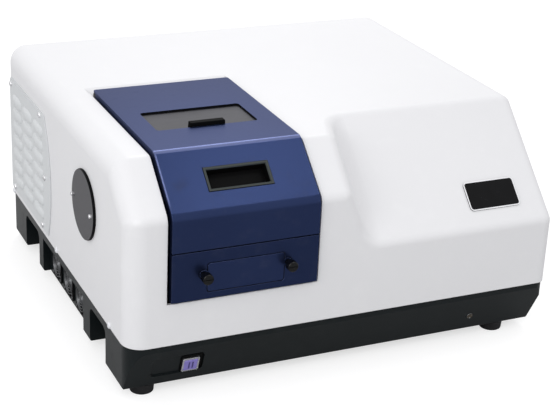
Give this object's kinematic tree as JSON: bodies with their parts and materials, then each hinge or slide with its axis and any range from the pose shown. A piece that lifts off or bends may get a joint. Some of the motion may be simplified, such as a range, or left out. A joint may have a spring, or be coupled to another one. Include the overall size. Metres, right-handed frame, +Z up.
{
  "type": "spectrofluorometer",
  "caption": "Bench spectrofluorometer: a white stepped cover on a dark base, with a hinged blue lid over its sample chamber, a louvred side panel and rubber feet.",
  "frame": {"origin": "on the bench, at the centre of the footprint", "axes": "+X to the right as seen from the front, +Y to the back, +Z up"},
  "size_m": [0.5698, 0.5412, 0.2905],
  "materials": {
    "base_paint": "charcoal textured paint",
    "foot_rubber": "matt",
    "steel": "zinc-plated",
    "cover_paint": "warm white fine-texture paint",
    "screw_white": "white-painted screws",
    "black_plastic": "fine texture",
    "disc_grey": "mid grey",
    "chrome": "polished",
    "badge_black": "black with a light border",
    "lid_blue": "steel blue metallic paint",
    "pull_olive": "olive grey rim, black well",
    "shutter_grey": "mid grey",
    "chamber_black": "matt black",
    "seal_foam": "soft foam",
    "lens_glass": "coated fused silica",
    "black_anodised": "black anodised",
    "button_purple": "translucent purple",
    "lamp_amber": "clear lens",
    "panel_plate": "satin",
    "rocker_black": "plain",
    "cast_aluminium": "sand cast",
    "mirror": "front-surface aluminised",
    "lamp_glass": "fused silica",
    "board_green": "solder mask",
    "supply_steel": "zinc-plated",
    "matte_socket": "white ceramic"
  },
  "bodies": {
    "instrument": {"badge_plate": "badge_black", "base_tray": "base_paint", "bench_screws": "steel", "body_hinge_leaf": "steel", "cell_holder": "black_anodised", "chamber_lenses": "lens_glass", "chamber_seal": "seal_foam", "connector_panel": "panel_plate", "control_board": "board_green", "cover_screws": "screw_white", "data_sockets": "steel", "em_monochromator": "cast_aluminium", "event_bezel": "black_plastic", "event_spring": "steel", "ex_monochromator": "cast_aluminium", "fan_frames": "black_plastic", "fan_guards": "black_plastic", "feet": "foot_rubber", "foot_screws": "steel", "front_panel": "lid_blue", "grating_motors": "supply_steel", "hinge_pin": "steel", "housing_cover": "cover_paint", "lamp_house": "black_anodised", "lamp_reflector": "mirror", "lamp_socket": "matte_socket", "lamp_supply": "supply_steel", "mirrors": "mirror", "optical_bench": "cast_aluminium", "pmt_housing": "black_anodised", "pmt_tube": "lamp_glass", "port_disc": "disc_grey", "port_ring": "black_plastic", "port_screws": "chrome", "power_inlet": "black_plastic", "power_lamp": "lamp_amber", "power_supply": "supply_steel", "rocker_frame": "black_plastic", "sample_chamber": "chamber_black", "vent_cover": "cover_paint", "vent_cover_screws": "screw_white", "xenon_lamp": "lamp_glass"},
    "lid": {"lid_shell": "lid_blue", "lid_pull": "pull_olive", "lid_hinge_leaf": "steel", "shutter_rails": "chamber_black"},
    "shutter": {"shutter_plate": "shutter_grey", "shutter_handle": "black_plastic"},
    "access_plate": {"access_plate": "lid_blue"},
    "thumbscrew_left": {"thumbscrew_left": "black_plastic"},
    "thumbscrew_right": {"thumbscrew_right": "black_plastic"},
    "fan_rotor_1": {"fan_rotor_1": "black_plastic"},
    "fan_rotor_2": {"fan_rotor_2": "black_plastic"},
    "fan_rotor_3": {"fan_rotor_3": "black_plastic"},
    "event_button": {"event_button": "button_purple"},
    "power_rocker": {"power_rocker": "rocker_black"},
    "ex_turntable": {"ex_turntable": "black_anodised", "ex_grating": "mirror"},
    "em_turntable": {"em_turntable": "black_anodised", "em_grating": "mirror"}
  },
  "joints": [
    {"name": "lid_hinge", "type": "hinge", "parent": "instrument", "child": "lid", "pos_m": [-0.13755, 0.02871, 0.2787], "axis": [-1, 0, 0], "range_deg": [0, 75]},
    {"name": "shutter_slide", "type": "slide", "parent": "lid", "child": "shutter", "axis": [0, 1, 0], "range_m": [0, 0.0524]},
    {"name": "access_plate_lift", "type": "slide", "parent": "instrument", "child": "access_plate", "axis": [0, -1, 0], "range_m": [0, 0.02]},
    {"name": "event_button_press", "type": "slide", "parent": "instrument", "child": "event_button", "axis": [0, 0.9393, 0.3432], "range_m": [0, 0.0015], "stiffness_N_per_m": 300, "springref_m": -0.0006, "deforming": ["event_spring"]},
    {"name": "power_rocker_swing", "type": "hinge", "parent": "instrument", "child": "power_rocker", "pos_m": [0.15645, 0.26571, 0.042], "axis": [-1, 0, 0], "range_deg": [0, 16]},
    {"name": "thumbscrew_left_turn", "type": "hinge", "parent": "access_plate", "child": "thumbscrew_left", "pos_m": [-0.1893, -0.25529, 0.1581], "axis": [0, 1, 0], "continuous": true},
    {"name": "thumbscrew_right_turn", "type": "hinge", "parent": "access_plate", "child": "thumbscrew_right", "pos_m": [-0.0858, -0.25529, 0.1581], "axis": [0, 1, 0], "continuous": true},
    {"name": "fan_1_spin", "type": "hinge", "parent": "instrument", "child": "fan_rotor_1", "pos_m": [-0.26205, -0.03979, 0.037], "axis": [1, 0, 0], "continuous": true},
    {"name": "fan_2_spin", "type": "hinge", "parent": "instrument", "child": "fan_rotor_2", "pos_m": [-0.26205, 0.01321, 0.037], "axis": [1, 0, 0], "continuous": true},
    {"name": "fan_3_spin", "type": "hinge", "parent": "instrument", "child": "fan_rotor_3", "pos_m": [-0.26205, 0.06621, 0.037], "axis": [1, 0, 0], "continuous": true},
    {"name": "ex_grating_turn", "type": "hinge", "parent": "instrument", "child": "ex_turntable", "pos_m": [-0.09355, 0.16071, 0.19], "axis": [0, 0, 1], "range_deg": [-25, 25]},
    {"name": "em_grating_turn", "type": "hinge", "parent": "instrument", "child": "em_turntable", "pos_m": [0.07345, -0.06029, 0.19], "axis": [0, 0, 1], "range_deg": [-25, 25]}
  ]
}
